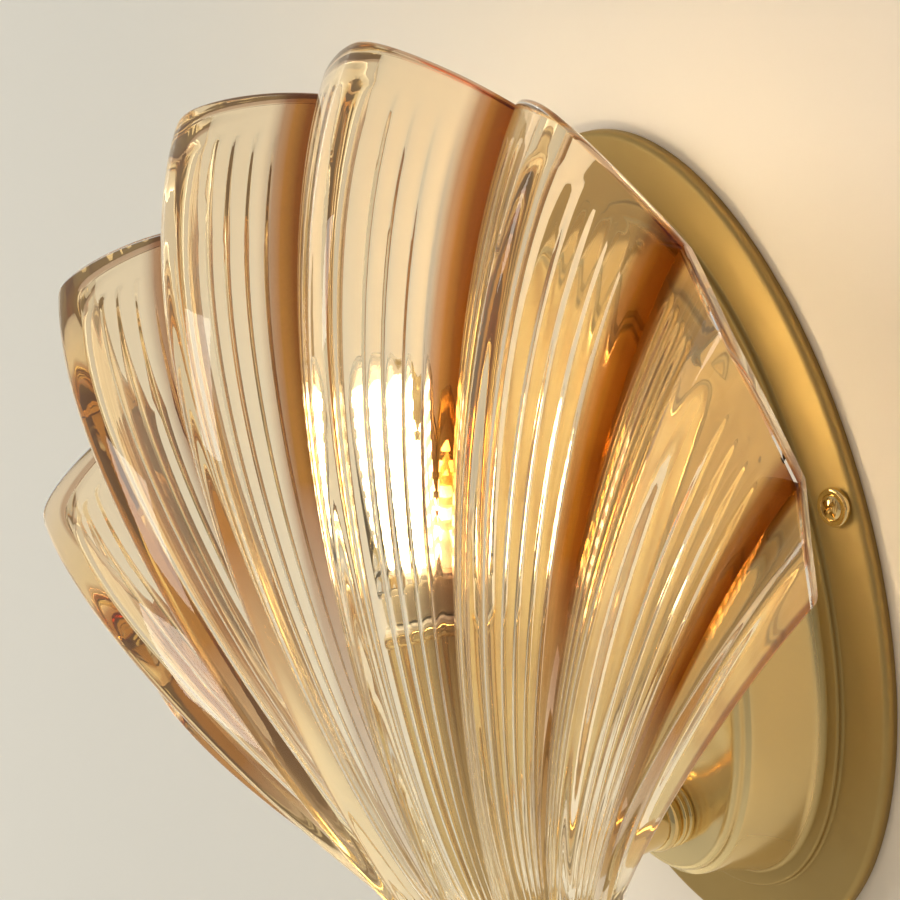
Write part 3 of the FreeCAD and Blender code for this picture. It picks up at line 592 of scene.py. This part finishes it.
def plate_brass():
    """Brass that is satin on the flat ring, darkened there by painted shade, and polished on the cove and
    platform inside it.
    """
    m = material("plate brass", (0.84, 0.66, 0.32), (0.78, 0.60, 0.27), 0.52, 0.58, scale=9, amount=0.3,
                 bump=0.001)
    tree = m.node_tree
    shader = tree.nodes["Principled BSDF"]
    group = next(node for node in tree.nodes if node.type == "GROUP")
    parts = tree.nodes.new("ShaderNodeSeparateXYZ")
    tree.links.new(add(tree, "TexCoord").outputs["Object"], parts.inputs[0])
    satin = ranged(tree, parts.outputs["Y"], RING_ENDS, COVE_STARTS, 1.0, POLISH)
    on_ring = ranged(tree, satin, POLISH, 1.0)
    # painted shade on the flat ring
    shade = mixed(tree, on_ring, group.outputs["Colour"], RING_PAINTED_SHADE, "MULTIPLY")
    tree.links.new(shade, shader.inputs["Base Color"])
    rough = worked_out(tree, "MULTIPLY", group.outputs["Roughness"], satin)
    tree.links.new(rough, shader.inputs["Roughness"])
    tree.links.new(ranged(tree, satin, POLISH, 1.0, 0.72, 0.95), shader.inputs["Metallic"])
    return m


def glow_material(name, colour, strength):
    m = material(name, colour, [c * 0.9 for c in colour], 0.4, 0.6, Emission_Strength=strength)
    nodes = m.node_tree.nodes
    group = next(node for node in nodes if node.type == "GROUP")
    m.node_tree.links.new(group.outputs["Colour"], nodes["Principled BSDF"].inputs["Emission Color"])
    return m


BRASS = material("satin brass", (0.72, 0.55, 0.26), (0.68, 0.51, 0.22), 0.25, 0.28, scale=9, amount=0.3,
                 bump=0.001, Metallic=1.0)
BRIGHT = material("polished brass", (0.80, 0.61, 0.29), (0.72, 0.53, 0.23), 0.09, 0.13, scale=12, amount=0.3,
                  bump=0.001, Metallic=1.0)
STEEL = material("zinc steel", (0.60, 0.60, 0.58), (0.44, 0.44, 0.42), 0.25, 0.4, scale=90, bump=0.01,
                 Metallic=1.0)
RUBBER = material("black rubber", (0.02, 0.02, 0.02), (0.05, 0.05, 0.05), 0.6, 0.8)
WHITE = material("white plastic", (0.46, 0.40, 0.29), (0.40, 0.34, 0.24), 0.25, 0.4, bump=0.005)
CERAMIC = material("steatite", (0.83, 0.80, 0.73), (0.74, 0.70, 0.62), 0.5, 0.7, bump=0.05)
SLEEVE = material("woven sleeve", (0.66, 0.61, 0.50), (0.5, 0.45, 0.35), 0.7, 0.9, scale=300, bump=0.3)
# painted glow: the lamp's board gives off light of its own, standing in for the chips' light scattered off it
BOARD_PAINTED_GLOW = glow_material("lamp board", (1.0, 0.86, 0.62), 2.0)
CHIP = glow_material("lamp chip", (1.0, 0.83, 0.56), 74.0)
COVER = material("clear cover", (0.98, 0.97, 0.94), (0.96, 0.94, 0.9), 0.02, 0.05, bump=0.004,
                 Transmission_Weight=1.0, IOR=1.4)
let_light_through(COVER, 0.05)
GASKET = material("silicone", (0.75, 0.75, 0.72), (0.66, 0.66, 0.62), 0.3, 0.45, Transmission_Weight=0.6)
GLASS = glass_material()
PLATE_BRASS = plate_brass()

CAD_FINISH = {
    "satin_brass": BRASS, "bright_brass": BRIGHT, "zinc_steel": STEEL, "black_rubber": RUBBER,
    "white_plastic": WHITE, "white_ceramic": CERAMIC, "lead_sleeve": SLEEVE, "lamp_board": BOARD_PAINTED_GLOW,
    "lamp_glow": CHIP, "clear_cover": COVER, "clear_gasket": GASKET, "amber_glass": GLASS,
}
slots = {part["node"]: part["material_slot"] for part in frame["record"]["subparts"]}
for node, piece in frame["nodes"].items():
    give(piece, CAD_FINISH[slots[node]])


# ---------------------------------------------------------------- pieces

def smoothed(piece, width, angle=35):
    """Rounds a piece's hard edges a little and shades the rest smooth."""
    apply(piece, "BEVEL", width=width * MM, segments=2, limit_method="ANGLE", angle_limit=math.radians(angle),
          harden_normals=False)
    return hard_edged(piece, angle)


RECESS = (3.7, 0.95, 2.2)                  # length, width and depth of one slot of the cross
RECESS_TURN = 28


def cover_screw(side):
    """A pan head with a raised lip round a low dome, and a cross recess."""
    profile = [(0.0, -2.6), (2.0, -2.6), (2.0, 0.03), (3.6, 0.03)] + arc(3.4, 0.53, 0.5, -45, 0, 4)
    profile += arc(3.4, 1.05, 0.5, 0, 90, 6) + [(2.75, 1.55), (2.6, 1.32)]
    turns = [math.radians(9 * k) for k in range(10)]
    profile += [(2.5 * math.cos(a), 1.3 + 1.2 * math.sin(a)) for a in turns]
    profile += [(0.0, 2.5)]
    start = (side * SCREW_X, -RING_OUT, 0)
    head = stack(f"cover_screw_{'left' if side < 0 else 'right'}_head", profile, start, (0, -1, 0), sides=64)
    length, width, depth = RECESS
    for size in ((width, length, depth), (length, width, depth)):
        deselect()
        bpy.ops.mesh.primitive_cube_add(size=1.0)
        blade = named("recess_cutter")
        blade.data.transform(Matrix.Diagonal((*size, 1.0)))
        turn = Matrix.Rotation(math.radians(RECESS_TURN), 4, "Z")
        blade.data.transform(Matrix.Translation((0, 0, 2.5)) @ turn)
        place(blade, [c * MM for c in start], (0, -1, 0))
        cut_or_fuse(head, blade, "DIFFERENCE")
    return smoothed(head, 0.12, 40)


ARM_R, ARM_BORE, ARM_LONG = 6.1, 5.05, 33.0
COLLAR_R, COLLAR_GAP = 7.0, 0.03


def arm_pieces():
    """The arm's tube, and the ring of two beads and a cushion round its foot."""
    tube = [(ARM_BORE, 0.1), (ARM_R, 0.1), (ARM_R, ARM_LONG), (ARM_BORE, ARM_LONG), (ARM_BORE, 0.1)]
    arm = stack("arm_tube_wall", tube, (0, -PLATFORM_OUT, ARM_Z), (0, -1, 0), sides=96)
    inside = ARM_R + COLLAR_GAP
    profile, start = [(inside, 0.0)], 0.0
    for width in (1.6, 1.6, 3.4):
        half = width / 2
        for k in range(15):
            a = math.radians(-84 + 12 * k)
            height = start + half + half * math.sin(a) * 0.985
            profile.append((COLLAR_R - half * 0.7 * (1 - math.cos(a)), height))
        start += width
    profile += [(inside, start), (inside, 0.0)]
    collar = stack("arm_collar_ring", profile, (0, -PLATFORM_OUT - COLLAR_GAP, ARM_Z), (0, -1, 0), sides=96)
    return arm, collar


def lamp_cup():
    """The lamp holder's cup: a floor with a hole for the post, a step inside for the bridge, a rolled lip."""
    hole, floor, lip = 5.03, 3, 1.2
    profile = [(hole, 0), (CUP_R - 2, 0)] + arc(CUP_R - 2, 2, 2, -90, 0, 8) + [(CUP_R, CUP_HEIGHT - 2 * lip)]
    profile += arc(CUP_R, CUP_HEIGHT - lip, lip, -90, 90, 14)
    low = LEDGE - CUP_BOTTOM
    profile += [(CUP_BORE + 0.4, CUP_HEIGHT), (CUP_BORE, CUP_HEIGHT - 0.4), (CUP_BORE, low)]
    profile += [(CUP_BORE - 1, low), (CUP_BORE - 1, floor), (hole, floor), (hole, 0)]
    return stack("holder_cup_wall", profile, (0, -LAMP_OUT, CUP_BOTTOM), (0, 0, 1), sides=128)


def lamp_shell():
    """The lamp's clear cap, open below, with a domed end."""
    r, wall, floor, mouth = COVER_R, 1.0, 1.5, LAMP_BASE_R + 0.03
    dome = COVER_HIGH - r
    profile = [(mouth, 0), (r - 1, 0)] + arc(r - 1, 1, 1, -90, 0, 5) + arc(0, dome, r, 0, 89.9, 16)
    profile += arc(0, dome, r - wall, 89.9, 0, 16) + [(r - wall, floor), (mouth, floor), (mouth, 0)]
    return stack("lamp_cap", profile, (0, -LAMP_OUT, COVER_BOTTOM), (0, 0, 1), sides=96)


def lamp_foot():
    """The lamp's round base, with soft corners."""
    r, high, soft = LAMP_BASE_R, LAMP_BASE_HIGH, 0.8
    profile = [(0.0, 0)] + arc(r - soft, soft, soft, -90, 0, 6) + arc(r - soft, high - soft, soft, 0, 90, 6)
    profile += [(0.0, high)]
    return stack("lamp_foot", profile, (0, -LAMP_OUT, LAMP_BOTTOM), (0, 0, 1), sides=72)


def finish_piece(piece, m, body, slot, *nodes):
    """Gives a piece its material and the body that carries it, and hides the nodes it stands for; its slot is
    not used.
    """
    give(piece, m)
    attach(piece, body)
    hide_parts(*nodes)


finish_piece(back_plate(), PLATE_BRASS, "fixture", "satin_brass", "back_plate")
for side, hand in ((-1, "left"), (1, "right")):
    finish_piece(cover_screw(side), BRIGHT, hand + "_screw", "bright_brass", "cover_screw_" + hand)
arm, collar = arm_pieces()
finish_piece(hard_edged(arm), BRIGHT, "fixture", "bright_brass", "arm_tube")
finish_piece(hard_edged(collar), BRIGHT, "fixture", "bright_brass", "arm_collar")
finish_piece(hard_edged(lamp_cup()), BRIGHT, "fixture", "bright_brass", "holder_cup")
finish_piece(lamp_shell(), COVER, "lamp", "clear_cover", "lamp_cover")
finish_piece(lamp_foot(), WHITE, "lamp", "white_plastic", "lamp_base")
finish_piece(glass_shade(), GLASS, "shade", "amber_glass", "glass_shade")

# ---------------------------------------------------------------- camera

AZIMUTH, ELEVATION, ROLL = 47.597, 3.297, 14.991
DISTANCE = 0.7
PICTURE, FOCAL_LENGTH = 900, 3450.9        # in the picture's points
OFF_CENTRE = (240.08, 84.07)               # how far the origin lies from the picture's middle
SENSOR = 36.0


def aim_camera():
    """Looks from the right at the shell, tipped so that the object leans left, as pictured."""
    around, above, tip = (math.radians(v) for v in (AZIMUTH, ELEVATION, ROLL))
    back = Vector((math.sin(around) * math.cos(above), -math.cos(around) * math.cos(above), math.sin(above)))
    right = Vector((math.cos(around), math.sin(around), 0))
    up = right.cross(-back)
    across = math.cos(tip) * right - math.sin(tip) * up
    upward = math.sin(tip) * right + math.cos(tip) * up
    off_right, off_down = (v / FOCAL_LENGTH for v in OFF_CENTRE)
    z = (back + across * off_right - upward * off_down).normalized()
    x = (across - z * across.dot(z)).normalized()
    y = z.cross(x)
    lens = bpy.data.cameras.new("camera")
    lens.sensor_width = SENSOR
    lens.lens = FOCAL_LENGTH / PICTURE * SENSOR
    lens.clip_start = 0.01
    camera = bpy.data.objects.new("camera", lens)
    bpy.context.collection.objects.link(camera)
    camera.matrix_world = Matrix.Translation(back * DISTANCE) @ Matrix((x, y, z)).transposed().to_4x4()
    bpy.context.scene.camera = camera


aim_camera()

# ---------------------------------------------------------------- stage and light

# painted light: the wall turns from cream to warm on the right, standing in for the lamp's warm light on it
WALL_COOL, WALL_PAINTED_WARM_LIGHT = (0.72, 0.70, 0.63), (0.94, 0.82, 0.66)
WALL_TURNS = (-0.16, 0.10)                 # where the wall's colour starts and ends its change to painted warm light, on the X axis
WALL_OPENING = 0.97                        # as a share of the plate
WALL_BEHIND = 0.0002
STAGE_SIZE = 3.0


def wall_material():
    """Pale cream paint, with painted warm light on the right; open behind the plate, unseen from behind."""
    m = bpy.data.materials.new("wall paint")
    m.use_nodes = True
    tree = m.node_tree
    shader = tree.nodes["Principled BSDF"]
    shader.inputs["Roughness"].default_value = 0.85
    where = add(tree, "TexCoord").outputs["Object"]
    parts = tree.nodes.new("ShaderNodeSeparateXYZ")
    tree.links.new(where, parts.inputs[0])
    painted_warm_light = ranged(tree, parts.outputs["X"], *WALL_TURNS)
    painted_warm_light.node.interpolation_type = "SMOOTHSTEP"
    tree.links.new(mixed(tree, painted_warm_light, WALL_COOL, WALL_PAINTED_WARM_LIGHT), shader.inputs["Base Color"])
    unseen = tree.nodes.new("ShaderNodeNewGeometry").outputs["Backfacing"]
    oval = tree.nodes.new("ShaderNodeVectorMath")
    oval.operation = "MULTIPLY"
    oval.inputs[1].default_value = (1 / (PLATE_W * MM), 0.0, 1 / (PLATE_H * MM))
    tree.links.new(where, oval.inputs[0])
    reach = tree.nodes.new("ShaderNodeVectorMath")
    reach.operation = "LENGTH"
    tree.links.new(oval.outputs["Vector"], reach.inputs[0])
    outside = worked_out(tree, "GREATER_THAN", reach.outputs["Value"], WALL_OPENING)
    solid = worked_out(tree, "MULTIPLY", worked_out(tree, "SUBTRACT", 1.0, unseen), outside)
    tree.links.new(solid, shader.inputs["Alpha"])
    return m


def stage():
    deselect()
    bpy.ops.mesh.primitive_plane_add(size=STAGE_SIZE)
    wall = named("wall")
    wall.data.transform(Matrix.Translation((0, WALL_BEHIND, 0.1)) @ Matrix.Rotation(math.radians(90), 4, "X"))
    give(wall, wall_material())
    bpy.ops.mesh.primitive_plane_add(size=STAGE_SIZE)
    floor = named("floor")
    floor.data.transform(Matrix.Translation((0, -1.2, -0.9)))
    give(floor, material("floor", (0.72, 0.70, 0.66), (0.68, 0.66, 0.62), 0.7, 0.9, scale=3))


def softbox(name, place_at, target, width, height, power, colour, mirrored):
    """A soft light that isn't seen through glass, and that metal and glass mirror only where asked."""
    lamp = bpy.data.lights.new(name, "AREA")
    lamp.shape = "RECTANGLE"
    lamp.size, lamp.size_y = width, height
    lamp.energy = power
    lamp.color = colour
    holder = bpy.data.objects.new(name, lamp)
    bpy.context.collection.objects.link(holder)
    holder.location = place_at
    holder.rotation_euler = (Vector(target) - Vector(place_at)).to_track_quat("-Z", "Y").to_euler()
    holder.visible_glossy = mirrored
    holder.visible_transmission = False


def room_light():
    """Even pale light all round, stronger from the left."""
    world = bpy.data.worlds.new("room")
    bpy.context.scene.world = world
    world.use_nodes = True
    tree = world.node_tree
    tree.nodes["Background"].inputs["Color"].default_value = (0.85, 0.83, 0.79, 1)
    across = tree.nodes.new("ShaderNodeSeparateXYZ")
    tree.links.new(add(tree, "TexCoord").outputs["Generated"], across.inputs[0])
    tree.links.new(ranged(tree, across.outputs["X"], -0.7, 0.7, 0.66, 0.30),
                   tree.nodes["Background"].inputs["Strength"])


stage()
softbox("window", (-1.6, -0.42, 0.42), (0, -0.05, 0), 0.6, 0.9, 30, (1.0, 0.98, 0.95), False)
softbox("front", (-0.4, -1.6, 0.7), (0, 0, 0), 0.5, 0.5, 4, (1.0, 0.96, 0.90), True)
room_light()
bpy.context.scene.view_settings.view_transform = "Standard"
